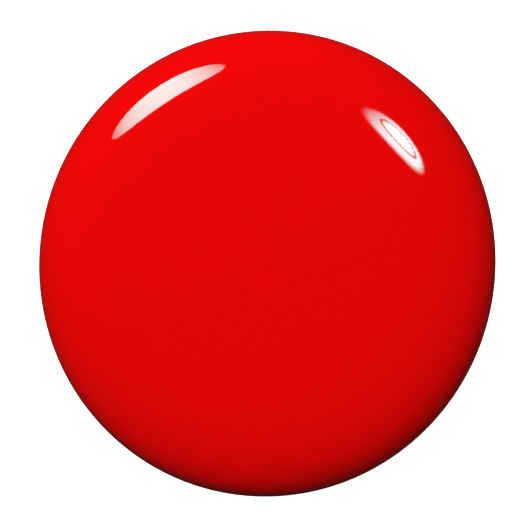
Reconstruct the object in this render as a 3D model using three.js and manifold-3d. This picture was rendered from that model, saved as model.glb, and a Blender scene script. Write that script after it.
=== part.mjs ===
// Nail lacquer bottle with a threaded brush closure, and a drop of its lacquer on the cap as a sample.
//
// Millimetres, +Z up. The origin is on the bottle's axis, in the plane that the bottle stands on.
// Almost every piece is turned about that axis, so most shapes are profiles of (radius, height) points.

import * as THREE from 'three';
import { mergeVertices } from 'three/addons/utils/BufferGeometryUtils.js';
import Module from 'manifold-3d';

const wasm = await Module();
wasm.setup();

// ---------------------------------------------------------------- driving dimensions

const SIDES = 48;            // flat sides of a turned piece
const PLAY = 0.05;           // gap between pieces fixed to each other
const LOOSE = 0.15;          // gap between pieces that can move apart
const THREAD_PITCH = 2.117;  // twelve threads to the inch
const THREAD_TURNS = 2;

const GLASS = {
  radius: 15, heel: 2.5, shoulder: 5, wallTop: 34, collarRadius: 7, collarRise: 0.6,
  innerRadius: 12.8, innerHeel: 3.6, innerShoulder: 3.3, floor: 5, innerWallTop: 33.1,
  recessRadius: 11.2, recessFlat: 10.2, recessDepth: 1.2,
};
const NECK = { radius: 5.7, bore: 3.6, top: 51.1, lip: 0.35, threadCrest: 6.5, threadStart: 43.4 };
const FILL_HEIGHT = 31;

const BALL = { radius: 2.25, clearance: 0.2, places: [[8.5, 0], [-6.5, -5.5]] };
const LABEL = { radius: 9.9, thickness: 0.15 };
const LINER = { radius: 6.2, hole: 3.5, thickness: 0.9 };

const INNER_CAP = {
  radius: 8.75, bore: 7.5, skirtBottom: 40.8, ceiling: 1.4, threadCrest: 6.8,
  bossRadius: 3.3, bossHeight: 7, bossBore: 2.05, ribs: 24, ribWidth: 0.6, ribReach: 9.05,
};
const STEM = {
  headRadius: 2, collarRadius: 3.3, collarHeight: 0.8, topRadius: 1.95, endRadius: 1.65, end: 22,
};
const TUFT = { rootRadius: 1.15, socket: 1.25, socketDepth: 4.2, bellyRadius: 2.15, belly: 11, tip: 6.5 };
const STAPLE = { length: 2.2, width: 0.45, height: 0.7 };
const BRUSH_CLEARANCE = 0.55;

const WEIGHT = { radius: 8.7, hole: 4.2, height: 12.2 };
const OVERCAP = {
  topRadius: 10.1, bottomRadius: 10.3, bore: 9.2, bottom: 39.8, top: 72, ceiling: 1.6, edge: 0.15,
  holdDowns: 4, holdDownWidth: 1, holdDownInner: 4.8,
};

// A still puddle of liquid takes a shape set by one length, the capillary length. The foot is where it
// stops at the cap's edge, and above the foot it bulges out past the edge.
const DROP = {
  radius: 10.5, capillary: 1.5, footRadius: 9.9, footSlope: 160, ovality: 0.0117, longAxis: 76,
};

// Heights that follow from the ones above.
const LINER_BOTTOM = NECK.top + LOOSE;
const CEILING_UNDERSIDE = LINER_BOTTOM + LINER.thickness + PLAY;
const CEILING_TOP = CEILING_UNDERSIDE + INNER_CAP.ceiling;
const BOSS_TOP = CEILING_TOP + INNER_CAP.bossHeight;
const STEM_TOP = BOSS_TOP - 0.9;
const WEIGHT_BOTTOM = CEILING_TOP + LOOSE;
const OVERCAP_UNDERSIDE = OVERCAP.top - OVERCAP.ceiling;

// ---------------------------------------------------------------- helpers

const radians = THREE.MathUtils.degToRad;

// Points of an arc of (radius, height) about a centre, from one angle to another in degrees.
function arc(centreR, centreZ, size, from, to, steps = 5) {
  return Array.from({ length: steps + 1 }, (_, i) => {
    const angle = radians(from + (to - from) * i / steps);
    return [centreR + size * Math.cos(angle), centreZ + size * Math.sin(angle)];
  });
}

// A profile turned about Z. It runs from the axis round the outside and back, or closes on itself.
function turned(profile, sides = SIDES) {
  const points = profile.map(([r, z]) => new THREE.Vector2(Math.max(r, 0), z));
  return new THREE.LatheGeometry(points, sides).rotateX(Math.PI / 2);
}

// A flat-ended ring or disc.
function ring(radius, hole, bottom, height) {
  const top = bottom + height;
  if (hole === 0) return turned([[0, bottom], [radius, bottom], [radius, top], [0, top]]);
  return turned([[hole, bottom], [radius, bottom], [radius, top], [hole, top], [hole, bottom]]);
}

// A box with its middle at a radius and an angle about the axis, from one height to another.
function radialBlock(inner, outer, width, bottom, top, angle) {
  return new THREE.BoxGeometry(outer - inner, width, top - bottom)
    .translate((inner + outer) / 2, 0, (bottom + top) / 2)
    .rotateZ(angle);
}

// The geometry as a solid that can be joined and cut.
function solid(geometry) {
  const bare = geometry.clone();
  bare.deleteAttribute('normal');
  bare.deleteAttribute('uv');
  const merged = mergeVertices(bare, 1e-5);
  const corners = merged.index.array;
  const triangles = [];
  for (let i = 0; i < corners.length; i += 3) {
    const [a, b, c] = [corners[i], corners[i + 1], corners[i + 2]];
    if (a !== b && b !== c && c !== a) triangles.push(a, b, c);
  }
  return new wasm.Manifold(new wasm.Mesh({
    numProp: 3,
    vertProperties: merged.attributes.position.array,
    triVerts: Uint32Array.from(triangles),
  }));
}

// The solid as a geometry again.
function geometryOf(manifold) {
  const mesh = manifold.getMesh();
  const geometry = new THREE.BufferGeometry();
  geometry.setAttribute('position', new THREE.BufferAttribute(mesh.vertProperties, 3));
  geometry.setIndex(new THREE.BufferAttribute(mesh.triVerts, 1));
  geometry.computeVertexNormals();
  return geometry;
}

function joined(base, pieces) {
  return geometryOf(pieces.reduce((sum, piece) => sum.add(solid(piece)), solid(base)));
}

function cut(base, tools) {
  return geometryOf(tools.reduce((rest, tool) => rest.subtract(solid(tool)), solid(base)));
}

// The centre line of a thread. Over the last stretch at each end it leans into the wall and fades out.
class ThreadLine extends THREE.Curve {
  constructor(radius, buriedRadius, start) {
    super();
    this.radius = radius;
    this.buriedRadius = buriedRadius;
    this.start = start;
  }

  getPoint(t, target = new THREE.Vector3()) {
    const fade = 0.06;
    const depth = 1 - Math.min(t / fade, (1 - t) / fade, 1);
    const r = this.radius + (this.buriedRadius - this.radius) * depth;
    const angle = 2 * Math.PI * THREAD_TURNS * t;
    return target.set(r * Math.cos(angle), r * Math.sin(angle), this.start + THREAD_PITCH * THREAD_TURNS * t);
  }
}

// A round-backed thread of the given half width along its centre line.
function thread(radius, buriedRadius, start, halfWidth) {
  const section = new THREE.Shape(new THREE.EllipseCurve(0, 0, halfWidth, halfWidth).getPoints(8));
  const path = new ThreadLine(radius, buriedRadius, start);
  const steps = 36 * THREAD_TURNS;
  return new THREE.ExtrudeGeometry(section, { steps, bevelEnabled: false, extrudePath: path });
}

// ---------------------------------------------------------------- bottle

function glassBottle() {
  const g = GLASS;
  const collarTop = g.wallTop + g.shoulder + g.collarRise;
  const body = turned([
    [0, g.recessDepth], [g.recessFlat, g.recessDepth], [g.recessRadius, 0],
    ...arc(g.radius - g.heel, g.heel, g.heel, -90, 0),
    ...arc(g.radius - g.shoulder, g.wallTop, g.shoulder, 0, 90, 7),
    [g.collarRadius, collarTop], [NECK.radius + 0.25, collarTop + 0.25], [NECK.radius, collarTop + 0.8],
    [NECK.radius, NECK.top - NECK.lip], [NECK.radius - NECK.lip, NECK.top],
    [NECK.bore + NECK.lip, NECK.top], [NECK.bore, NECK.top - NECK.lip],
    [NECK.bore, collarTop], [NECK.bore + 0.4, collarTop - 1.9], [NECK.bore + 1.6, collarTop - 2.9],
    ...arc(g.innerRadius - g.innerShoulder, g.innerWallTop, g.innerShoulder, 90, 0),
    ...arc(g.innerRadius - g.innerHeel, g.floor + g.innerHeel, g.innerHeel, 0, -90),
    [0, g.floor],
  ]);
  const halfWidth = 0.8;
  const threadLine = NECK.threadCrest - halfWidth;
  return joined(body, [thread(threadLine, threadLine - 0.9, NECK.threadStart, halfWidth)]);
}

// The lacquer leaves room for the brush from above, and for the balls from below.
function lacquer() {
  const radius = GLASS.innerRadius - PLAY;
  const floor = GLASS.floor + PLAY;
  const well = TUFT.bellyRadius + BRUSH_CLEARANCE;
  const liquid = turned([
    [0, floor],
    ...arc(radius - GLASS.innerHeel, floor + GLASS.innerHeel, GLASS.innerHeel, -90, 0),
    [radius, FILL_HEIGHT], [well, FILL_HEIGHT], [well, TUFT.tip - BRUSH_CLEARANCE],
    [0, TUFT.tip - BRUSH_CLEARANCE],
  ]);
  const pocket = BALL.radius + BALL.clearance;
  const centre = GLASS.floor + PLAY + BALL.radius;
  return cut(liquid, BALL.places.map(([x, y]) =>
    turned([[0, 0], [pocket, 0], ...arc(0, centre, pocket, 0, 90)], 24).translate(x, y, 0)));
}

function baseLabel() {
  return ring(LABEL.radius, 0, GLASS.recessDepth - PLAY - LABEL.thickness, LABEL.thickness);
}

function mixingBall([x, y]) {
  return new THREE.SphereGeometry(BALL.radius, 24, 14)
    .rotateX(Math.PI / 2)
    .translate(x, y, GLASS.floor + PLAY + BALL.radius);
}

// ---------------------------------------------------------------- brush

function brushStem() {
  const s = STEM;
  const collarTop = CEILING_UNDERSIDE - PLAY;
  const collarBottom = collarTop - s.collarHeight;
  return turned([
    [0, s.end + TUFT.socketDepth], [TUFT.socket, s.end + TUFT.socketDepth], [TUFT.socket, s.end],
    [s.endRadius - 0.15, s.end], [s.endRadius, s.end + 0.4],
    [s.topRadius, collarBottom - 1], [2.6, collarBottom - 0.4], [s.collarRadius, collarBottom],
    [s.collarRadius, collarTop], [s.headRadius, collarTop],
    [s.headRadius, STEM_TOP - 0.4], [s.headRadius - 0.4, STEM_TOP], [0, STEM_TOP],
  ], 32);
}

function bristleStaple() {
  const top = STEM.end + TUFT.socketDepth - LOOSE;
  return new THREE.BoxGeometry(STAPLE.length, STAPLE.width, STAPLE.height)
    .translate(0, 0, top - STAPLE.height / 2);
}

function bristleTuft() {
  const t = TUFT;
  const top = STEM.end + t.socketDepth - STAPLE.height - 2 * LOOSE;
  return turned([
    [0, t.tip], [0.9, t.tip + 0.2], [1.7, t.tip + 1.2], [t.bellyRadius - 0.1, t.belly - 2],
    [t.bellyRadius, t.belly], [t.bellyRadius - 0.15, t.belly + 4], [1.5, STEM.end - 2],
    [t.rootRadius, STEM.end - 0.2],
    [t.rootRadius, top], [0, top],
  ], 24);
}

// ---------------------------------------------------------------- closure

function sealingLiner() {
  return ring(LINER.radius, LINER.hole, LINER_BOTTOM, LINER.thickness);
}

// The boss is a blind socket for the stem's head. Fine ribs grip the overcap.
function innerCap() {
  const c = INNER_CAP;
  const body = turned([
    [0, STEM_TOP + 0.1], [c.bossBore, STEM_TOP + 0.1],
    [c.bossBore, CEILING_UNDERSIDE], [c.bore, CEILING_UNDERSIDE], [c.bore, c.skirtBottom + 0.5],
    [c.bore + 0.4, c.skirtBottom], [c.radius, c.skirtBottom],
    [c.radius, CEILING_TOP - 0.4], [c.radius - 0.4, CEILING_TOP], [c.bossRadius, CEILING_TOP],
    [c.bossRadius, BOSS_TOP - 0.4], [c.bossRadius - 0.4, BOSS_TOP], [0, BOSS_TOP],
  ]);
  const halfWidth = 0.6;
  const threadLine = c.threadCrest + halfWidth;
  const threadStart = NECK.threadStart + THREAD_PITCH / 2;
  const ribs = Array.from({ length: c.ribs }, (_, i) => radialBlock(
    c.radius - 0.4, c.ribReach, c.ribWidth, c.skirtBottom + 1, CEILING_TOP - 1,
    2 * Math.PI * (i + 0.5) / c.ribs));
  return joined(body, [thread(threadLine, threadLine + 0.35, threadStart, halfWidth), ...ribs]);
}

function capWeight() {
  return ring(WEIGHT.radius, WEIGHT.hole, WEIGHT_BOTTOM, WEIGHT.height);
}

// Ribs under the crown keep the weight down on the inner cap.
function overcap() {
  const c = OVERCAP;
  const shell = turned([
    [0, OVERCAP_UNDERSIDE], [c.bore, OVERCAP_UNDERSIDE], [c.bore, c.bottom + 0.6], [c.bore + 0.3, c.bottom],
    [c.bottomRadius - c.edge, c.bottom], [c.bottomRadius, c.bottom + c.edge],
    [c.topRadius, c.top - c.edge], [c.topRadius - c.edge, c.top], [0, c.top],
  ]);
  const ribBottom = WEIGHT_BOTTOM + WEIGHT.height + LOOSE;
  const ribs = Array.from({ length: c.holdDowns }, (_, i) => radialBlock(
    c.holdDownInner, c.bore + 0.4, c.holdDownWidth, ribBottom, OVERCAP_UNDERSIDE + 0.5,
    2 * Math.PI * (i + 0.5) / c.holdDowns));
  return joined(shell, ribs);
}

// ---------------------------------------------------------------- lacquer drop

// Profile of a wide puddle, by the slope of its surface in degrees. With c the capillary length, the
// surface lies 2 c sin(slope / 2) below the crown, and c (F(90) - F(slope)) inside the widest place,
// where F(slope) = ln tan(slope / 4) + 2 cos(slope / 2).
function lacquerDrop() {
  const reach = (slope) => Math.log(Math.tan(radians(slope) / 4)) + 2 * Math.cos(radians(slope) / 2);
  const drop = (slope) => 2 * DROP.capillary * Math.sin(radians(slope) / 2);
  const base = OVERCAP.top + PLAY;
  const crown = OVERCAP.top + drop(DROP.footSlope);
  const slopes = [148, 128, 109, 90, 72, 56, 42, 30, 21, 14, 9, 5, 2];
  const surface = slopes.map((slope) =>
    [DROP.radius - DROP.capillary * (reach(90) - reach(slope)), crown - drop(slope)]);
  return turned([[0, base], [DROP.footRadius, base], ...surface, [0, crown]], 64)
    .rotateZ(-radians(DROP.longAxis))
    .scale(1 + DROP.ovality, 1 - DROP.ovality, 1)
    .rotateZ(radians(DROP.longAxis));
}

// ---------------------------------------------------------------- materials and assembly

const finish = (color, roughness, metalness = 0, opacity = 1) =>
  new THREE.MeshStandardMaterial({ color, roughness, metalness, opacity, transparent: opacity < 1 });

const PIECES = [
  ['glass_bottle', glassBottle(), finish(0xdfe9e6, 0.05, 0, 0.4)],
  ['lacquer', lacquer(), finish(0xc8060a, 0.1)],
  ['base_label', baseLabel(), finish(0xf2f0ea, 0.7)],
  ...BALL.places.map((place, i) => [`mixing_ball_${i + 1}`, mixingBall(place), finish(0xb9bcc0, 0.25, 1)]),
  ['brush_stem', brushStem(), finish(0x17171a, 0.35)],
  ['bristle_staple', bristleStaple(), finish(0xc9c2a8, 0.3, 1)],
  ['bristle_tuft', bristleTuft(), finish(0xb00a10, 0.4)],
  ['sealing_liner', sealingLiner(), finish(0xf4f4f2, 0.6)],
  ['inner_cap', innerCap(), finish(0x202024, 0.45)],
  ['cap_weight', capWeight(), finish(0x9ea2a6, 0.35, 1)],
  ['overcap', overcap(), finish(0x0c0c0e, 0.25)],
  ['lacquer_drop', lacquerDrop(), finish(0xe30807, 0.04)],
];

const bottle = new THREE.Group();
for (const [name, geometry, material] of PIECES) {
  const mesh = new THREE.Mesh(geometry, material);
  mesh.name = name;
  bottle.add(mesh);
}

export default bottle;
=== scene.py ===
# %% [markdown]
# # A bottle of nail lacquer, with a drop of its colour on the cap
# The bottle is a small glass jar with a threaded neck. Its cap carries the brush, and on the cap's flat
# top sits a drop of the lacquer itself, as a sample of the colour. The working model of every part is
# loaded first. It fixes where each part is and how it moves, and the cells below give each part its
# finished surface.

import bpy
import numpy as np
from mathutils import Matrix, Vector


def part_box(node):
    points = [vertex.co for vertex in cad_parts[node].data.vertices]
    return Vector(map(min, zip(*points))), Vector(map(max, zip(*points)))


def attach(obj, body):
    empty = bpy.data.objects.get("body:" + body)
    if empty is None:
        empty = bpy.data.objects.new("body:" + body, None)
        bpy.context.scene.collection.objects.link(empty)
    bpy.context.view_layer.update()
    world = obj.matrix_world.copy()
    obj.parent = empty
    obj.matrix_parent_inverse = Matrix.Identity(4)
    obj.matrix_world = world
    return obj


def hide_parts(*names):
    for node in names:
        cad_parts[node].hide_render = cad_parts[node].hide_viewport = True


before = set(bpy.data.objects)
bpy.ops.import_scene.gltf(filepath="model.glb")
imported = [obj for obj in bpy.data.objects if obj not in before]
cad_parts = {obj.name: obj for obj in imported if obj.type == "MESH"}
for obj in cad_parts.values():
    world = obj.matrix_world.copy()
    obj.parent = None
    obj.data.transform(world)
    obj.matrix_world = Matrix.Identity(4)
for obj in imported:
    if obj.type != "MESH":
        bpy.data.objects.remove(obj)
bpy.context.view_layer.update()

MM = 0.001

# %% [markdown]
# ## Turned shapes
# Nearly every part is turned about the bottle's axis. A turned part could be made with the Screw modifier,
# but a profile worked out as an array gives exact corner arcs and lets a thread or a rib be added by a
# formula. A profile is a short list of corners, each a radius, a height and the length of its rounding in
# millimetres. The rounding is a true arc that touches both sides at that length from the corner.

# %% A profile from its corners
def arc_at(corner, before, after, length, steps):
    """Points of the arc that touches both sides of a corner at the given length from it.

    With u and v the unit directions to the neighbours and h half the angle between them, the centre lies
    length / cos h along u + v, and the arc turns evenly from one touching point to the other."""
    corner = np.array(corner, float)
    u = np.array(before, float) - corner
    v = np.array(after, float) - corner
    u, v = u / np.linalg.norm(u), v / np.linalg.norm(v)
    half = np.arccos(np.clip(u @ v, -1, 1)) / 2
    middle = (u + v) / np.linalg.norm(u + v)
    centre = corner + middle * length / np.cos(half)
    a, b = corner + u * length - centre, corner + v * length - centre
    turn = np.pi - 2 * half
    t = np.linspace(0, 1, steps + 1)[:, None]
    return centre + (np.sin((1 - t) * turn) * a + np.sin(t * turn) * b) / np.sin(turn)


def profile(corners, longest=1.0, steps=8, loop=False):
    """(radius, height) points along the corners, with arcs, and no straight step over the longest."""
    places = [c[:2] for c in corners]
    count = len(corners)
    path = []
    for i, (r, z, rounding) in enumerate(corners):
        is_end = not loop and i in (0, count - 1)
        if rounding == 0 or is_end:
            path.append(np.array([[r, z]], float))
        else:
            path.append(arc_at(places[i], places[i - 1], places[(i + 1) % count], rounding, steps))
    if loop:
        path.append(path[0][:1])
    line = np.concatenate(path)
    filled = [line[:1]]
    for a, b in zip(line[:-1], line[1:]):
        parts = max(1, int(np.ceil(np.linalg.norm(b - a) / longest)))
        filled.append(a + (b - a) * (np.arange(1, parts + 1) / parts)[:, None])
    points = np.concatenate(filled)
    return points[:-1] if loop else points


print("corner arc check", arc_at((1, 0), (0, 0), (1, 1), 0.5, 2).round(3).tolist())

# %% [markdown]
# ## From a grid of points to a piece
# A grid has one row for each profile point and one column for each direction about the axis. Where a
# profile begins or ends on the axis its row is a single point, which closes the shape with a fan of
# triangles. A ring's profile has no end, so its last row joins its first.

# %% Turn a grid into a mesh object
def grid_faces(rows, columns, loop, first):
    """Four corners for each cell of the grid, numbered from first, with the columns joined round."""
    i = np.arange(rows if loop else rows - 1)[:, None]
    j = np.arange(columns)[None, :]
    below, above = i * columns, ((i + 1) % rows) * columns
    ahead = (j + 1) % columns
    cells = np.stack([below + j, below + ahead, above + ahead, above + j], axis=-1)
    return (cells.reshape(-1, 4) + first).tolist()


def fan(row, tip, flip):
    """Triangles from every edge of a row to one point."""
    ahead = np.roll(row, -1)
    tips = np.full(len(row), tip)
    order = [ahead, row, tips] if flip else [row, ahead, tips]
    return np.stack(order, axis=-1).tolist()


def piece(name, points, faces):
    """A smooth-shaded object in metres from points in millimetres."""
    mesh = bpy.data.meshes.new(name)
    mesh.from_pydata((np.asarray(points, float) * MM).tolist(), [], faces)
    mesh.shade_smooth()
    mesh.validate()
    thing = bpy.data.objects.new(name, mesh)
    bpy.context.scene.collection.objects.link(thing)
    return thing


def skin(grid, loop=False, first=0):
    """Points and faces of a grid (rows, columns, 3). End rows that lie on the axis become one point."""
    rows, columns = grid.shape[:2]
    if loop:
        return grid.reshape(-1, 3), grid_faces(rows, columns, True, first)
    middle = grid[1:-1]
    points = np.concatenate([middle.reshape(-1, 3), grid[:1, 0], grid[-1:, 0]])
    faces = grid_faces(rows - 2, columns, False, first)
    start, end = first + (rows - 2) * columns, first + (rows - 2) * columns + 1
    last_row = first + (rows - 3) * columns + np.arange(columns)
    faces += fan(first + np.arange(columns), start, True) + fan(last_row, end, False)
    return points, faces


def turn(line, columns, shift=None):
    """Turns a profile about Z. shift(angle, radius, height) gives what is added to the radius.

    x = (r + shift) cos a, y = (r + shift) sin a, z = z."""
    angle = np.linspace(0, 2 * np.pi, columns, endpoint=False)[None, :]
    r = np.repeat(line[:, :1], columns, axis=1)
    z = np.repeat(line[:, 1:], columns, axis=1)
    if shift is not None:
        r = r + shift(angle, r, z)
    return np.stack([r * np.cos(angle), r * np.sin(angle), z], axis=-1)


def smoothstep(x, low, high):
    """0 below low, 1 above high, and 3 t^2 - 2 t^3 between."""
    t = np.clip((x - low) / (high - low), 0, 1)
    return t * t * (3 - 2 * t)


def report(thing):
    faces = sum(len(p.vertices) - 2 for p in thing.data.polygons)
    print(f"{thing.name}: {faces} triangles")
    return thing


# %% [markdown]
# ## Screw threads
# A thread is a ridge that climbs one pitch in each turn. On a turned wall it is a bump in the radius: for
# a point at some angle and height, the height above the nearest turn of the ridge decides how far the wall
# stands out. The ridge fades in and out over a short stretch at its ends, as a moulded thread does.

# %% The ridge of a thread
PITCH = 2.117
THREAD_START = 43.4
THREAD_TURNS = 2.0
THREAD_FADE = 0.12


def ridge(angle, z, start, depth, half_width):
    """How far the thread stands out: depth (1 - (d / half_width)^2) at a height d from the nearest turn."""
    height = np.zeros(np.broadcast(angle, z).shape)
    for lap in range(int(THREAD_TURNS) + 1):
        turns = angle / (2 * np.pi) + lap
        share = (z - start - PITCH * turns) / half_width
        end = smoothstep(turns, THREAD_TURNS - THREAD_FADE, THREAD_TURNS)
        fade = smoothstep(turns, 0.0, THREAD_FADE) * (1 - end)
        height = np.maximum(height, depth * fade * np.clip(1 - share ** 2, 0, 1))
    return height


# %% [markdown]
# ## The glass
# Pressed and blown glass has thick walls, a heavy base with a hollow under it, and soft edges everywhere.
# The bottle is one closed skin: up the outside, over the lip and down the inside. The neck has short rows
# so that the thread's ridge comes out smooth.

# %% The bottle
OUTSIDE, INSIDE = 15, 12.8
NECK, BORE = 5.7, 3.6
RIM, FLOOR, HOLLOW = 51.1, 5, 1.2
INNER_SHOULDER = 36.2
THREADED = (42.0, 50.0)


def bottle_profile():
    """From the middle of the hollow base, up the outside, and down the inside to the inner floor."""
    return profile([
        (0, HOLLOW, 0), (10.5, HOLLOW, 0.5), (11.3, 0, 0.35), (OUTSIDE, 0, 2.5), (OUTSIDE, 38.6, 5),
        (NECK, 39.75, 0.9), (NECK, RIM, 0.5), (BORE, RIM, 0.45), (BORE, 37.2, 1.6),
        (INSIDE, INNER_SHOULDER, 3.3), (INSIDE, FLOOR, 3.6), (0, FLOOR, 0),
    ], longest=0.7)


def finer(line, low, high, least_radius, step):
    """The same profile, with extra points on the stretch outside least_radius between two heights."""
    out = [line[:1]]
    for a, b in zip(line[:-1], line[1:]):
        inside = low < (a[1] + b[1]) / 2 < high and min(a[0], b[0]) > least_radius
        parts = max(1, int(np.ceil(np.linalg.norm(b - a) / step))) if inside else 1
        out.append(a + (b - a) * (np.arange(1, parts + 1) / parts)[:, None])
    return np.concatenate(out)


def glass_thread(angle, r, z):
    outside = (r > 5.0) & (r < 6.5)
    return ridge(angle, z, THREAD_START, 0.8, 0.75) * outside


glass_line = finer(bottle_profile(), *THREADED, 5.0, 0.09)
bottle = report(piece("bottle_glass", *skin(turn(glass_line, 192, glass_thread))))

# %% [markdown]
# ## The lacquer in the bottle
# Liquid wets glass, so the fill climbs a little at the wall and touches it all over. If the fill stopped
# short of the glass, a thin gap of air would show as a silvery layer. Its skin therefore lies a few
# hundredths of a millimetre inside the glass wall itself. Shaking leaves a thin coat on the wall above
# the fill.

# %% The fill and the coat above it
OVERLAP = 0.05
LEVEL = 31.0
CLIMB, CLIMB_WIDTH = 1.1, 0.9


def fill_profile():
    """The floor, the wall and the free top, which climbs to the wall as e^(-d / width)."""
    wall = INSIDE + OVERLAP
    below = FLOOR - OVERLAP
    r = np.linspace(wall, 0, 60)
    top = np.stack([r, LEVEL + CLIMB * np.exp((r - wall) / CLIMB_WIDTH)], axis=-1)
    sides = profile([(0, below, 0), (wall, below, 3.6), (wall, LEVEL + CLIMB, 0)], longest=1.5)
    return np.concatenate([sides[:-1], top])


fill = report(piece("lacquer_fill", *skin(turn(fill_profile(), 128))))


def coat_profile():
    """A thin band that follows the inner wall from just under the fill's edge to the top of the shoulder."""
    wall = profile([(INSIDE, 29.5, 0), (INSIDE, INNER_SHOULDER, 3.3), (4.4, 37.0, 0)], longest=0.4)
    slope = np.gradient(wall, axis=0)
    side = np.stack([slope[:, 1], -slope[:, 0]], axis=-1) / np.linalg.norm(slope, axis=1)[:, None]
    return np.concatenate([wall + side * OVERLAP, (wall - side * OVERLAP)[::-1]])


coat = report(piece("lacquer_coat", *skin(turn(coat_profile(), 128), loop=True)))

# %% [markdown]
# ## Small parts inside the bottle
# Two steel balls stir the pigment when the bottle is shaken. A paper disc in the hollow of the base gives
# the shade, and is left blank here.

# %% Mixing balls and base label
def ball(name, centre, radius, rows=32, columns=48):
    """A sphere about a point: r = R sin t and z = R (1 - cos t), turned and then moved."""
    t = np.linspace(0, np.pi, rows + 1)
    line = np.stack([radius * np.sin(t), -radius * np.cos(t)], axis=-1)
    points, faces = skin(turn(line, columns))
    return report(piece(name, points + np.array(centre), faces))


def middle_of(node):
    low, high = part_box(node)
    return (low + high) / 2 / MM


BALL_NODES = ["mixing_ball_1", "mixing_ball_2"]
BALL_RADIUS = 2.25
balls = [ball(f"steel_ball_{i + 1}", middle_of(n), BALL_RADIUS) for i, n in enumerate(BALL_NODES)]

label_line = profile([(0, 1.0, 0), (9.9, 1.0, 0.06), (9.9, 1.16, 0.06), (0, 1.16, 0)])
label = report(piece("blank_label", *skin(turn(label_line, 128))))

# %% [markdown]
# ## The brush
# The stem is pressed into the cap and ends in a socket. A bunch of nylon filaments, folded over a wire
# staple, fills the socket, swells to a belly and closes to a rounded tip.

# %% Stem
stem_line = profile([
    (0, 26.2, 0), (1.25, 26.2, 0.1), (1.25, 22, 0.08), (1.62, 22, 0.14), (1.95, 50.2, 0.3), (2.6, 50.8, 0.2),
    (3.3, 51.2, 0.2), (3.3, 52.05, 0.15), (2.0, 52.05, 0.1), (2.0, 59.7, 0.4), (0, 59.7, 0),
], longest=0.8)
stem = report(piece("cap_stem", *skin(turn(stem_line, 64))))

# %% Filaments
FILAMENTS = 380
FILAMENT_RADIUS = 0.058
TUFT_TOP, TUFT_TIP = 24.8, 6.6


def tuft_radius(z):
    """Radius of the whole bunch at a height: the socket's, widening to a belly, then closing."""
    heights = [6.5, 7.2, 8.6, 11.0, 15.0, 19.5, 22.0, 25.0]
    radii = [1.35, 1.75, 2.0, 2.1, 1.95, 1.45, 1.12, 1.1]
    return np.interp(z, heights, radii)


def filaments():
    """Each filament starts at a sunflower point of the socket and keeps its share of the bunch's radius.

    Share = sqrt(k / n) and angle = k times the golden angle. The tips lie on a dome, the middle longest."""
    draw = np.random.default_rng(7)
    k = np.arange(FILAMENTS) + 0.5
    share = np.sqrt(k / FILAMENTS) * 0.97
    angle = k * np.pi * (3 - np.sqrt(5)) + draw.normal(0, 0.05, FILAMENTS)
    tip = TUFT_TIP + 2.6 * share ** 2.5 + draw.uniform(0, 0.5, FILAMENTS)
    t = np.linspace(0, 1, 9)[None, :]
    z = TUFT_TOP + (tip[:, None] - TUFT_TOP) * t
    sway = draw.normal(0, 0.035, (FILAMENTS, 2))
    r = share[:, None] * tuft_radius(z)
    x = r * np.cos(angle)[:, None] + sway[:, :1] * t ** 2
    y = r * np.sin(angle)[:, None] + sway[:, 1:] * t ** 2
    return np.stack([x, y, z], axis=-1), FILAMENT_RADIUS * (1 - 0.45 * t ** 3)


def tubes(lines, radius, sides=5):
    """Thin tubes with closed ends along many lines at once, each ring level, as the lines are steep."""
    count, rows = lines.shape[:2]
    a = np.linspace(0, 2 * np.pi, sides, endpoint=False)
    ring = np.stack([np.cos(a), -np.sin(a), 0 * a], axis=-1)
    grid = lines[:, :, None, :] + ring[None, None] * np.broadcast_to(radius, (count, rows))[:, :, None, None]
    ends = [grid[:, :1].mean(axis=2, keepdims=True), grid[:, -1:].mean(axis=2, keepdims=True)]
    ends = [np.repeat(e, sides, axis=2) for e in ends]
    grid = np.concatenate([ends[0], grid, ends[1]], axis=1)
    points, faces = skin(grid[0])
    per_tube = len(points)
    all_points = np.concatenate([skin(g)[0] for g in grid])
    all_faces = [[i + per_tube * n for i in face] for n in range(count) for face in faces]
    return all_points, all_faces


bristles = report(piece("nylon_bristles", *tubes(*filaments())))

# %% [markdown]
# A brush drawn from the bottle carries lacquer with it. The load hangs round the bunch as one smooth body
# with faint furrows between the filaments, thick near the tip and thin towards the stem.

# %% The lacquer that the brush carries
def load_furrows(angle, r, z):
    """Shallow furrows that fade towards the tip: 0.05 cos(11 a + 0.35 z) + 0.03 cos(7 a - 0.5 z)."""
    waves = 0.05 * np.cos(11 * angle + 0.35 * z) + 0.03 * np.cos(7 * angle - 0.5 * z)
    return waves * smoothstep(z, 7.0, 12.0) * (r > 0.3)


LOAD_TIP, LOAD_TOP = 5.75, 21.5


def load_profile():
    """A drop's tip below the bunch, then the bunch's radius and a film that thins upwards."""
    near_tip = LOAD_TIP + 1.4 * np.linspace(0.02, 1, 14) ** 2
    z = np.concatenate([[LOAD_TIP], near_tip, np.linspace(7.4, LOAD_TOP, 46)])
    tip = 1.93 * np.sqrt(np.clip((z - LOAD_TIP) / 1.65, 0, 1))
    film = tuft_radius(z) + 0.30 - 0.2 * smoothstep(z, 9, 20)
    r = np.minimum(tip, film) * (1 - 0.12 * smoothstep(z, 18, LOAD_TOP))
    return np.concatenate([np.stack([r, z], axis=-1), [[0, LOAD_TOP + 0.1]]])


load = report(piece("brush_load", *skin(turn(load_profile(), 96, load_furrows))))

# %% [markdown]
# ## The closure
# The inner cap screws on the neck and holds the stem in a boss. A soft washer seals the rim, a steel ring
# gives the cap its weight, and the overcap is the smooth outer shell that the hand turns.

# %% Inner cap, washer and weight
RIBS = 24


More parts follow.
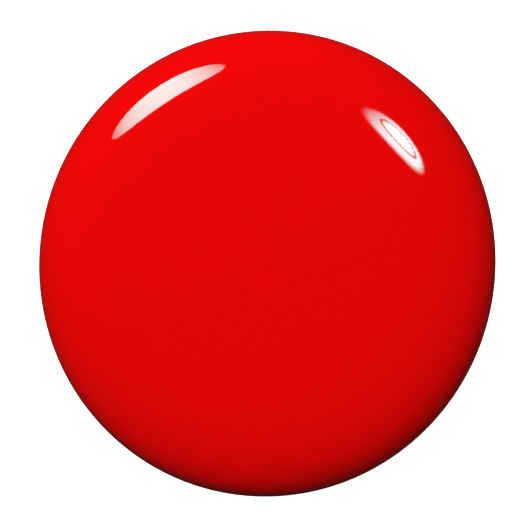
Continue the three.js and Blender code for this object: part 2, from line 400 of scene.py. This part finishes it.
def cap_shape(angle, r, z):
    """Ribs on the outside, as narrow raised bars, and the inner thread as a ridge towards the axis."""
    phase = (angle * RIBS / (2 * np.pi)) % 1.0
    rib = smoothstep(np.abs(phase - 0.5), 0.5, 0.0) ** 6 * 0.3
    along = smoothstep(z, 41.4, 42.2) * (1 - smoothstep(z, 51.8, 52.6))
    outside = (r > 8.6) * rib * along
    thread = ridge(angle, z, THREAD_START + PITCH / 2, 0.7, 0.6) * ((r > 7.4) & (r < 7.9))
    return outside - thread


cap_line = profile([
    (0, 59.8, 0), (2.05, 59.8, 0.2), (2.05, 52.15, 0.1), (7.5, 52.15, 0.4), (7.5, 41.1, 0.2),
    (7.9, 40.8, 0.1), (8.75, 40.8, 0.2), (8.75, 53.55, 0.5), (3.3, 53.55, 0.5), (3.3, 60.55, 0.4),
    (0, 60.55, 0),
], longest=0.7)
cap_line = finer(cap_line, *THREADED, 7.0, 0.12)
inner_cap = report(piece("threaded_cap", *skin(turn(cap_line, 192, cap_shape))))

liner_line = profile([
    (3.5, 51.25, 0.12), (3.7, 51.25, 0.05), (3.9, 51.33, 0.05), (5.4, 51.33, 0.05), (5.6, 51.25, 0.05),
    (6.2, 51.25, 0.12), (6.2, 52.15, 0.12), (3.5, 52.15, 0.12),
], longest=0.3, steps=4, loop=True)
liner = report(piece("foam_washer", *skin(turn(liner_line, 96), loop=True)))

weight_line = profile([
    (4.2, 53.75, 0.3), (8.7, 53.75, 0.5), (8.7, 65.9, 0.5), (4.2, 65.9, 0.3),
], longest=1.0, steps=4, loop=True)
weight = report(piece("steel_ring", *skin(turn(weight_line, 96), loop=True)))

# %% [markdown]
# The overcap is moulded in one piece with a very sharp top edge, because that edge is what holds a puddle
# of lacquer on the cap. A fine groove near the mouth catches the light and ends the smooth wall.

# %% Overcap
CAP_TOP = 72.0

overcap_line = profile([
    (0, 70.4, 0), (9.2, 70.4, 0.1), (9.2, 40.4, 0.3), (9.5, 39.8, 0.1), (10.3, 39.8, 0.25),
    (10.285, 42.6, 0.12), (10.06, 42.75, 0.08), (10.06, 43.0, 0.08), (10.28, 43.15, 0.12),
    (10.1, CAP_TOP, 0.16), (0, CAP_TOP, 0),
], longest=0.8)
overcap = report(piece("cap_shell", *skin(turn(overcap_line, 256))))

# %% [markdown]
# ## The drop on the cap
# Lacquer poured on the cap spreads until it meets the edge, and there it bulges a little past it before it
# would run down. Away from the rim such a puddle is flat, and near the rim its curve is set by one length,
# the capillary length, at which weight and surface tension balance. The curve has an exact formula by the
# slope of the surface, so there is no need to sculpt it. The mirror in a glossy drop shows every flaw in
# its curve, which makes the exact one worth having.

# %% The drop
DROP_RADIUS = 10.5
CAPILLARY = 1.5
FOOT_SLOPE = 160.0
OVALITY, LONG_AXIS = 0.0117, np.radians(76)
CROWN = CAP_TOP + 2 * CAPILLARY * np.sin(np.radians(FOOT_SLOPE) / 2)
WIDEST = CROWN - 2 * CAPILLARY * np.sin(np.pi / 4)


def puddle_reach(slope):
    """F(s) = ln tan(s / 4) + 2 cos(s / 2), in capillary lengths. Differences of F are distances."""
    return np.log(np.tan(slope / 4)) + 2 * np.cos(slope / 2)


def drop_profile():
    """By slope s: r = R - c (F(90) - F(s)) and z = crown - 2 c sin(s / 2), from the foot to the middle."""
    steep = np.linspace(FOOT_SLOPE, 30, 70)
    gentle = np.geomspace(30, 0.25, 80)[1:]
    slope = np.radians(np.concatenate([steep, gentle]))
    r = DROP_RADIUS - CAPILLARY * (puddle_reach(np.pi / 2) - puddle_reach(slope))
    z = CROWN - 2 * CAPILLARY * np.sin(slope / 2)
    foot = [[0, CAP_TOP], [r[0] * 0.5, CAP_TOP]]
    keep = r > 0.05
    return np.concatenate([foot, np.stack([r, z], axis=-1)[keep], [[0, CROWN]]])


def drop_oval(angle, r, z):
    """The rim is slightly oval, and its foot is round, because the cap's edge holds it there."""
    bulge = smoothstep(z, CAP_TOP, CAP_TOP + 0.5)
    return r * OVALITY * np.cos(2 * (angle - LONG_AXIS)) * bulge


drop = report(piece("poured_drop", *skin(turn(drop_profile(), 256, drop_oval))))

# %% [markdown]
# ## A small language for shader maths
# Shader nodes are easier to read as sums than as a web of boxes. The class below wraps one output socket,
# and an expression such as 1 - mask * 0.5 adds the Math nodes that it needs.

# %% Shader values and finishes
class Value:
    """One number that varies over a surface. Arithmetic on it adds Math nodes."""

    def __init__(self, finish, socket):
        self.finish, self.socket = finish, socket

    def math(self, operation, *others):
        sockets = {0: self, **dict(enumerate(others, 1))}
        return self.finish.add("ShaderNodeMath", {"operation": operation}, sockets)

    def __add__(self, other):
        return self.math("ADD", other)

    def __sub__(self, other):
        return self.math("SUBTRACT", other)

    def __mul__(self, other):
        return self.math("MULTIPLY", other)

    def __pow__(self, other):
        return self.math("POWER", other)

    def __rsub__(self, other):
        return self.math("MULTIPLY", -1).math("ADD", other)

    __radd__ = __add__
    __rmul__ = __mul__

    def between(self, low, high, start=0.0, end=1.0):
        """Maps low..high smoothly to start..end, and holds the ends."""
        settings = {"interpolation_type": "SMOOTHSTEP"}
        return self.finish.add("ShaderNodeMapRange", settings, {0: self, 1: low, 2: high, 3: start, 4: end})


class Finish:
    """One material. constants are set on the shader's own sockets, and add() makes every other node."""

    def __init__(self, name, constants):
        self.material = bpy.data.materials.new(name)
        self.material.use_nodes = True
        self.tree = self.material.node_tree
        self.shader = self.tree.nodes["Principled BSDF"]
        for socket, value in constants.items():
            self.shader.inputs[socket].default_value = value
        self.place = self.add("ShaderNodeTexCoord", {}, {}, "Object")
        self.x, self.y, self.z = self.split(self.place)

    def add(self, kind, settings, sockets, output=0):
        """A node of a type, with its settings, and the values or links of its sockets."""
        node = self.tree.nodes.new(kind)
        for key, value in settings.items():
            setattr(node, key, value)
        for key, value in sockets.items():
            if isinstance(value, Value):
                self.tree.links.new(value.socket, node.inputs[key])
            else:
                node.inputs[key].default_value = value
        return node if output is None else Value(self, node.outputs[output])

    @property
    def radius(self):
        """The distance from the bottle's axis."""
        return (self.x * self.x + self.y * self.y) ** 0.5

    def split(self, vector):
        """The three numbers of a vector."""
        node = self.add("ShaderNodeSeparateXYZ", {}, {0: vector}, None)
        return [Value(self, node.outputs[i]) for i in range(3)]

    def noise(self, scale, detail=3.0, stretch=(1, 1, 1), roughness=0.5):
        """Noise with features about 1 / scale metres wide, drawn out by stretch."""
        place = self.add("ShaderNodeVectorMath", {"operation": "MULTIPLY"}, {0: self.place, 1: stretch})
        sockets = {"Vector": place, "Scale": scale, "Detail": detail, "Roughness": roughness}
        return self.add("ShaderNodeTexNoise", {}, sockets)

    def mix(self, mask, first, second):
        """One colour where the mask is 0 and another where it is 1."""
        return self.add("ShaderNodeMix", {"data_type": "RGBA"}, {0: mask, 6: first, 7: second}, 2)

    def set(self, socket, value):
        self.tree.links.new(value.socket, self.shader.inputs[socket])

    def bump(self, height, distance):
        """Raises the surface by the height times a distance in metres."""
        sockets = {"Height": height, "Distance": distance}
        self.set("Normal", self.add("ShaderNodeBump", {}, sockets))


def colour(r, g, b):
    return (r, g, b, 1.0)


RED = colour(0.80, 0.0015, 0.0012)
print("shader language ready")

# %% [markdown]
# ## Lacquer finishes
# Cream lacquer is dense pigment in clear resin. The pigment gives a full, even red, and the resin a mirror
# of about the strength of glass. The dried drop and the wet fill share that build. Where the fill touches
# glass there is no mirror, because the two bend light alike, so the clear coat is kept for its free top.

# %% Drop, fill and coat
WET_IOR = 1.4


def lacquer_drop():
    f = Finish("lacquer_drop", {"Roughness": 0.5, "Specular IOR Level": 0.0, "Coat Weight": 1.0,
                                "Coat Roughness": 0.012, "Coat IOR": WET_IOR})
    pigment = f.noise(2600, detail=2).between(0.35, 0.65)
    f.set("Base Color", f.mix(pigment, RED, colour(0.785, 0.0014, 0.0012)))
    return f.material


def lacquer_wet():
    f = Finish("lacquer_wet", {"Roughness": 0.45, "Specular IOR Level": 0.0, "Coat Roughness": 0.02,
                               "Coat IOR": 1.5})
    f.set("Base Color", f.mix(f.noise(90, detail=4).between(0.3, 0.7), colour(0.62, 0.001, 0.001),
                              colour(0.56, 0.0008, 0.001)))
    top = f.z.between(0.0308, 0.0312)
    wall = f.radius.between(0.0122, 0.0127)
    f.set("Coat Weight", top * (1 - wall))
    return f.material


def lacquer_coat():
    """Runs and a ragged edge: dense near the fill, broken into streaks higher up."""
    f = Finish("lacquer_coat", {"Base Color": colour(0.5, 0.001, 0.001), "Roughness": 0.4,
                                "Specular IOR Level": 0.0})
    runs = f.noise(420, detail=5, stretch=(1, 1, 0.14), roughness=0.6)
    height = f.z.between(0.0302, 0.0375)
    f.set("Alpha", (runs - height * 0.42).between(0.30, 0.40))
    return f.material


# %% [markdown]
# ## Glass
# Moulded glass is clear but never flat: it has slow waves, a faint seam where the mould halves met, and a
# fine stipple on the ring that it stands on. All three are far too small to model, so they are bumps.

# %% Bottle glass
def bottle_glass():
    f = Finish("bottle_glass", {"Base Color": colour(0.985, 0.995, 0.99), "Roughness": 0.0,
                                "Transmission Weight": 1.0, "IOR": 1.51})
    waves = f.noise(70, detail=1)
    seam = (f.y * 6500).math("ABSOLUTE").between(0.0, 1.0, 1.0, 0.0) * f.z.between(0.002, 0.004)
    stipple = f.noise(2800, detail=0) * f.z.between(0.0, 0.0006, 1.0, 0.0)
    f.bump(waves * 0.5 + seam * 0.12 + stipple * 0.5, 0.00012)
    depth = f.add("ShaderNodeVolumeAbsorption", {}, {"Color": colour(0.55, 0.75, 0.66), "Density": 30.0})
    f.tree.links.new(depth.socket, f.tree.nodes["Material Output"].inputs["Volume"])
    return f.material


# %% [markdown]
# ## Plastics, metal, foam and paper
# Each finish has its own fine structure: the cap's satin grain with faint marks of handling, the stem's
# flow lines and the lacquer that clings to it, lathe rings on the weight, scuffs on the balls, cells in
# the foam and fibre in the paper.

# %% Cap plastics
def cap_gloss():
    f = Finish("cap_gloss", {"Base Color": colour(0.0055, 0.0055, 0.0065), "Specular IOR Level": 0.5,
                             "Coat Weight": 0.35, "Coat Roughness": 0.06})
    grain = f.noise(5200, detail=1)
    handling = f.noise(160, detail=6, stretch=(1, 1, 0.35), roughness=0.7).between(0.42, 0.72)
    scratches = f.noise(900, detail=2, stretch=(6, 6, 0.08)).between(0.66, 0.72)
    f.set("Roughness", 0.2 + handling * 0.1 + scratches * 0.1)
    f.bump(grain * 0.6 - scratches * 0.6, 0.000006)
    return f.material


def cap_core():
    f = Finish("cap_core", {"Base Color": colour(0.022, 0.022, 0.024)})
    cloud = f.noise(300, detail=3)
    f.set("Roughness", cloud.between(0.3, 0.7, 0.38, 0.52))
    f.bump(f.noise(3600, detail=1) + cloud, 0.00001)
    return f.material


def stem_plastic():
    """Black plastic that turns red below the fill's level, with a ragged edge and a glossy coat."""
    f = Finish("stem_plastic", {"Coat Roughness": 0.04, "Coat IOR": 1.5})
    edge = f.z + f.noise(700, detail=4, stretch=(1, 1, 0.2)) * 0.006
    wet = edge.between(0.0385, 0.0375)
    f.set("Base Color", f.mix(wet, colour(0.02, 0.02, 0.022), RED))
    f.set("Coat Weight", wet)
    f.set("Roughness", wet.between(0, 1, 0.36, 0.5))
    f.bump(f.noise(2200, detail=2, stretch=(1, 1, 0.1)), 0.00001)
    return f.material


def bristle_nylon():
    f = Finish("bristle_nylon", {"Roughness": 0.3, "Coat Weight": 0.6, "Coat Roughness": 0.08})
    strand = f.noise(5000, detail=0, stretch=(1, 1, 0.02)).between(0.35, 0.65)
    f.set("Base Color", f.mix(strand, colour(0.42, 0.002, 0.003), colour(0.2, 0.001, 0.002)))
    return f.material


def load_lacquer():
    f = Finish("lacquer_on_brush", {"Roughness": 0.5, "Specular IOR Level": 0.0, "Coat Weight": 1.0,
                                    "Coat Roughness": 0.03})
    f.set("Base Color", f.mix(f.noise(500, stretch=(1, 1, 0.2)).between(0.35, 0.65), RED,
                              colour(0.58, 0.001, 0.001)))
    f.bump(f.noise(1500, detail=1, stretch=(1, 1, 0.06)), 0.00004)
    return f.material


# %% Metals, foam and paper
def ball_steel():
    f = Finish("ball_steel", {"Base Color": colour(0.62, 0.63, 0.65), "Metallic": 1.0})
    scuff = f.noise(1800, detail=4).between(0.5, 0.75)
    f.set("Roughness", scuff.between(0, 1, 0.08, 0.3))
    return f.material


def weight_steel():
    f = Finish("weight_steel", {"Base Color": colour(0.5, 0.5, 0.51), "Metallic": 1.0})
    turning = (f.radius * 26000).math("SINE") * 0.3 + (f.z * 21000).math("SINE") * 0.3
    f.set("Roughness", f.noise(400).between(0.3, 0.7, 0.28, 0.45))
    f.bump(turning, 0.00001)
    return f.material


def staple_wire():
    f = Finish("staple_wire", {"Base Color": colour(0.66, 0.55, 0.33), "Metallic": 1.0})
    drawn = f.noise(6000, detail=1, stretch=(0.05, 1, 1))
    f.set("Roughness", drawn.between(0.3, 0.7, 0.2, 0.4))
    f.bump(drawn, 0.000006)
    return f.material


def liner_foam():
    f = Finish("liner_foam", {"Roughness": 0.75, "Specular IOR Level": 0.3})
    cells = f.add("ShaderNodeTexVoronoi", {}, {"Vector": f.place, "Scale": 6500.0}, "Distance")
    stain = (f.radius + f.noise(900) * 0.0008).between(0.0044, 0.0039)
    f.set("Base Color", f.mix(stain, colour(0.82, 0.82, 0.8), colour(0.6, 0.01, 0.008)))
    f.bump(cells, 0.00003)
    return f.material


def label_paper():
    """Coated paper with a thin printed ring near its edge."""
    f = Finish("label_paper", {"Roughness": 0.55})
    fibre = f.noise(1400, detail=5, roughness=0.65)
    ring = (f.radius - 0.0088).math("ABSOLUTE").between(0.00012, 0.00016, 1.0, 0.0)
    paper = f.mix(fibre.between(0.3, 0.7), colour(0.86, 0.855, 0.83), colour(0.8, 0.79, 0.765))
    f.set("Base Color", f.mix(ring, paper, colour(0.16, 0.16, 0.17)))
    f.bump(fibre, 0.00002)
    return f.material


# %% [markdown]
# ## Joining looks to the working model
# Each finished piece moves with one body of the working model and stands for the parts that it covers.

# %% Dress the pieces
ball_finish = ball_steel()
DRESS = [
    (bottle, bottle_glass(), "bottle", "glass", ["glass_bottle"]),
    (fill, lacquer_wet(), "bottle", "lacquer", ["lacquer"]),
    (coat, lacquer_coat(), "bottle", "lacquer", []),
    (label, label_paper(), "bottle", "paper", ["base_label"]),
    (balls[0], ball_finish, "ball_1", "steel", [BALL_NODES[0]]),
    (balls[1], ball_finish, "ball_2", "steel", [BALL_NODES[1]]),
    (liner, liner_foam(), "closure", "liner", ["sealing_liner"]),
    (weight, weight_steel(), "weight", "weight_steel", ["cap_weight"]),
    (inner_cap, cap_core(), "closure", "cap_core", ["inner_cap"]),
    (stem, stem_plastic(), "closure", "stem", ["brush_stem"]),
    (bristles, bristle_nylon(), "closure", "bristles", ["bristle_tuft"]),
    (load, load_lacquer(), "closure", "lacquer", []),
    (overcap, cap_gloss(), "closure", "cap_shell", ["overcap"]),
    (drop, lacquer_drop(), "closure", "lacquer_drop", ["lacquer_drop"]),
]
for thing, material, body, slot, nodes in DRESS:
    thing.data.materials.append(material)
    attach(thing, body)
    if nodes:
        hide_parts(*nodes)

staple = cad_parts["bristle_staple"]
staple.data.materials.clear()
staple.data.materials.append(staple_wire())
print(len(DRESS), "pieces dressed, and the staple keeps its own shape")

# %% [markdown]
# Glass in front of a lamp would block it from everything inside, since the renderer does not follow
# bent light back to small lamps. The bottle therefore casts no shadow of its own.

# %% Let light into the bottle
bottle.visible_shadow = False

# %% [markdown]
# ## Camera
# The drop is what a buyer looks at, so the camera hangs straight over it, close enough for the drop to
# hide the cap and the bottle. The picture's width is 2.3 times the drop's radius.

# %% Camera over the drop
CAMERA_HEIGHT = 70.0
CAMERA_AIM = (-0.107, -0.066)
FRAME_WIDTH = 24.14
SENSOR = 36.0

camera_data = bpy.data.cameras.new("camera_over_drop")
camera_data.sensor_width = SENSOR
camera_data.lens = SENSOR * CAMERA_HEIGHT / FRAME_WIDTH
camera_data.clip_start = 0.001
camera = bpy.data.objects.new("camera_over_drop", camera_data)
camera.location = np.array([*CAMERA_AIM, WIDEST + CAMERA_HEIGHT]) * MM
bpy.context.scene.collection.objects.link(camera)
bpy.context.scene.camera = camera
print("lens", round(camera_data.lens, 2), "mm, widest place of the drop at", round(WIDEST, 3), "mm")

# %% [markdown]
# ## Light
# A glossy drop mirrors its lamps, so the lamps have real shapes: a large round softbox and a smaller dish
# with a bright disc behind a ring. They are cards that shine, hung in the directions where a maker's
# studio would have them. The cards are not seen by the camera itself.
#
# Each card has two colours. What it throws on the drop is plain grey. What the drop mirrors of it is
# bright and short of red, and over the red pigment that comes out as white. A real lamp has one colour,
# so this belongs to the studio and says nothing about the lacquer.

# %% Shining cards
CARD_DISTANCE = 0.6
CARD_SIDES = 64


def direction(tilt, azimuth):
    """The unit vector at a tilt from straight up and an azimuth from +X, in degrees."""
    tilt, azimuth = np.radians(tilt), np.radians(azimuth)
    return np.array([np.sin(tilt) * np.cos(azimuth), np.sin(tilt) * np.sin(azimuth), np.cos(tilt)])


def card(name, tilt, azimuth, half_width, half_height, material):
    """An oval card facing the drop's top. Sizes are half angles in degrees as seen from there."""
    out = direction(tilt, azimuth)
    across = np.cross([0, 0, 1], out)
    across /= np.linalg.norm(across)
    up = np.cross(out, across)
    a = np.linspace(0, 2 * np.pi, CARD_SIDES, endpoint=False)
    wide, high = CARD_DISTANCE * np.tan(np.radians([half_width, half_height]))
    centre = np.array([0, 0, WIDEST * MM]) + out * CARD_DISTANCE
    rim = centre + np.outer(np.cos(a) * wide, across) + np.outer(np.sin(a) * high, up)
    faces = [[CARD_SIDES, (i + 1) % CARD_SIDES, i] for i in range(CARD_SIDES)]
    thing = piece(name, np.concatenate([rim, [centre]]) / MM, faces)
    spread = thing.data.uv_layers.new(name="card")
    flat = np.concatenate([np.stack([np.cos(a), np.sin(a)], axis=-1), [[0, 0]]])
    corners = np.array([loop.vertex_index for loop in thing.data.loops])
    spread.data.foreach_set("uv", flat[corners].ravel())
    thing.data.materials.append(material)
    thing.visible_camera = False
    thing.visible_shadow = False


def shining(name, strength, light, image, pattern):
    """A card's material, with a pattern of (x, y, distance from the middle).

    The light that it throws and the image that a mirror shows of it have colours of their own."""
    f = Finish(name, {"Base Color": colour(0, 0, 0), "Roughness": 1.0, "Specular IOR Level": 0.0,
                      "Emission Strength": strength})
    x, y, _ = f.split(f.add("ShaderNodeUVMap", {"uv_map": "card"}, {}))
    level = pattern(x, y, (x * x + y * y) ** 0.5)
    mirrored = f.add("ShaderNodeLightPath", {}, {}, "Is Glossy Ray")
    f.set("Emission Color", f.mix(level, colour(0, 0, 0), f.mix(mirrored, light, image)))
    return f.material


def softbox_pattern(x, y, rho):
    """Even in the middle, weaker towards the two sides and the top, with a line of light at the bottom."""
    lower_edge = (x * x + (y - 0.06) * (y - 0.06)).between(0.94, 1.04) * y.between(-0.2, -0.6)
    field = 1.04 - x * x * 0.88 - y.between(0.2, 1.0) * 0.1 + lower_edge * 0.12
    return field * rho.between(0.94, 1.0, 1.0, 0.0)


def dish_pattern(x, y, rho):
    """A bright disc inside a dark ring, both off centre, in a field that is weaker to one side."""
    inner = ((x + 0.05) * (x + 0.05) * 1.15 + (y + 0.10) * (y + 0.10) * 1.7) ** 0.5
    ring = (inner - 0.58).math("ABSOLUTE").between(0.02, 0.075, 0.22, 1.0)
    field = 0.8 - x.between(0.05, 0.95) * 0.63 + x.between(-0.3, -0.9) * 0.08
    field = field + inner.between(0.58, 0.5) * 0.14
    return field * ring * rho.between(0.7, 1.0, 1.0, 0.0)


softbox_grey, softbox_image = colour(0.6, 0.6, 0.6), colour(0.13, 1.0, 0.97)
dish_grey, dish_image = colour(0.45, 0.45, 0.45), colour(0.2, 1.0, 1.0)
softbox = shining("softbox_light", 29.0, softbox_grey, softbox_image, softbox_pattern)
dish = shining("dish_light", 40.0, dish_grey, dish_image, dish_pattern)
card("softbox", 45.9, 122.3, 14.4, 11.2, softbox)
card("dish", 27.7, 43.5, 7.0, 7.0, dish)
print("two cards hung over the drop, each", CARD_DISTANCE, "m from it")

# %% [markdown]
# The floor is a sheet of lit acrylic, as under product shots, so it stays white round the bottle. Close
# under the bottle its glow is painted darker, as a painted contact shadow. It shines on nothing itself:
# gentle lamps round the bottle stand for the light that it would give, and they pass over the drop,
# whose dark lower rim comes from having no light below it.

# %% Floor and surroundings
FLOOR_REACH = 1500.0


def floor_sheet():
    f = Finish("floor_acrylic", {"Base Color": colour(0.8, 0.8, 0.8), "Roughness": 0.5,
                                 "Specular IOR Level": 0.3, "Emission Strength": 1.0})
    # Painted contact shadow: the glow is grey within 15 mm of the axis and rises to white by 21.2 mm.
    painted_contact_shadow = f.radius.between(0.0150, 0.0212)
    f.set("Emission Color", f.mix(painted_contact_shadow, colour(0.42, 0.42, 0.42), colour(1, 1, 1)))
    corners = np.array([[-1, -1, 0], [1, -1, 0], [1, 1, 0], [-1, 1, 0]]) * FLOOR_REACH
    ground = piece("floor", corners, [[0, 1, 2, 3]])
    ground.data.materials.append(f.material)
    ground.visible_diffuse = False
    ground.visible_glossy = False


floor_sheet()

world = bpy.data.worlds.new("studio")
bpy.context.scene.world = world
world.use_nodes = True
sky = world.node_tree
sky.nodes.clear()


def sky_node(kind, settings, sockets):
    """A node of the world with its settings, and the values or links of its sockets."""
    node = sky.nodes.new(kind)
    for key, value in settings.items():
        setattr(node, key, value)
    for key, value in sockets.items():
        if isinstance(value, bpy.types.NodeSocket):
            sky.links.new(value, node.inputs[key])
        else:
            node.inputs[key].default_value = value
    return node


def sky_mix(mask, first, second):
    return sky_node("ShaderNodeMix", {}, {0: mask, 2: first, 3: second}).outputs[0]


ray = sky_node("ShaderNodeLightPath", {}, {})
place = sky_node("ShaderNodeTexCoord", {}, {}).outputs["Generated"]
height = sky_node("ShaderNodeSeparateXYZ", {}, {0: place}).outputs[2]
through = sky_node("ShaderNodeMapRange", {}, {"Value": height, "From Min": 0.15, "From Max": 0.6,
                                              "To Min": 1.0, "To Max": 0.12}).outputs[0]
level = sky_mix(ray.outputs["Is Transmission Ray"], 0.03, through)
level = sky_mix(ray.outputs["Is Camera Ray"], level, 1.0)
background = sky_node("ShaderNodeBackground", {}, {"Color": colour(1, 1, 1), "Strength": level})
sky_node("ShaderNodeOutputWorld", {}, {"Surface": background.outputs[0]})

# %% [markdown]
# One soft lamp hangs above everything, higher up on the softbox's side, and adds to the light on the
# drop's top. It has no mirror image. The other four pass over the drop.

# %% Soft lamps
LAMP_AIM = 37.0

lit = bpy.data.collections.new("lit_by_side_lamps")
for thing, *_ in DRESS:
    if thing is not drop:
        lit.objects.link(thing)


def side_lamp(name, azimuth, tilt, distance, size, power):
    """A soft lamp facing the middle of the bottle."""
    data = bpy.data.lights.new(name, "AREA")
    data.shape = "RECTANGLE"
    data.size, data.size_y = size
    data.energy = power
    lamp = bpy.data.objects.new(name, data)
    aim = np.array([0, 0, LAMP_AIM]) * MM
    out = direction(tilt, azimuth)
    lamp.location = aim + out * distance
    lamp.rotation_euler = Vector(out).to_track_quat("Z", "Y").to_euler()
    lamp.visible_camera = False
    lamp.light_linking.receiver_collection = lit
    bpy.context.scene.collection.objects.link(lamp)
    return lamp


overhead = side_lamp("overhead", 112, 23, 0.8, (0.16, 0.16), 2.42)
overhead.visible_glossy = False
overhead.light_linking.receiver_collection = None
side_lamp("left_strip", 190, 78, 0.45, (0.06, 0.34), 1.7)
side_lamp("right_strip", 335, 78, 0.45, (0.04, 0.30), 1.1)
side_lamp("front_fill", 262, 62, 0.6, (0.4, 0.3), 0.9)
side_lamp("back_fill", 80, 62, 0.6, (0.4, 0.3), 0.9)

bpy.context.scene.view_settings.view_transform = "Standard"
print("floor, surroundings and lamps placed")
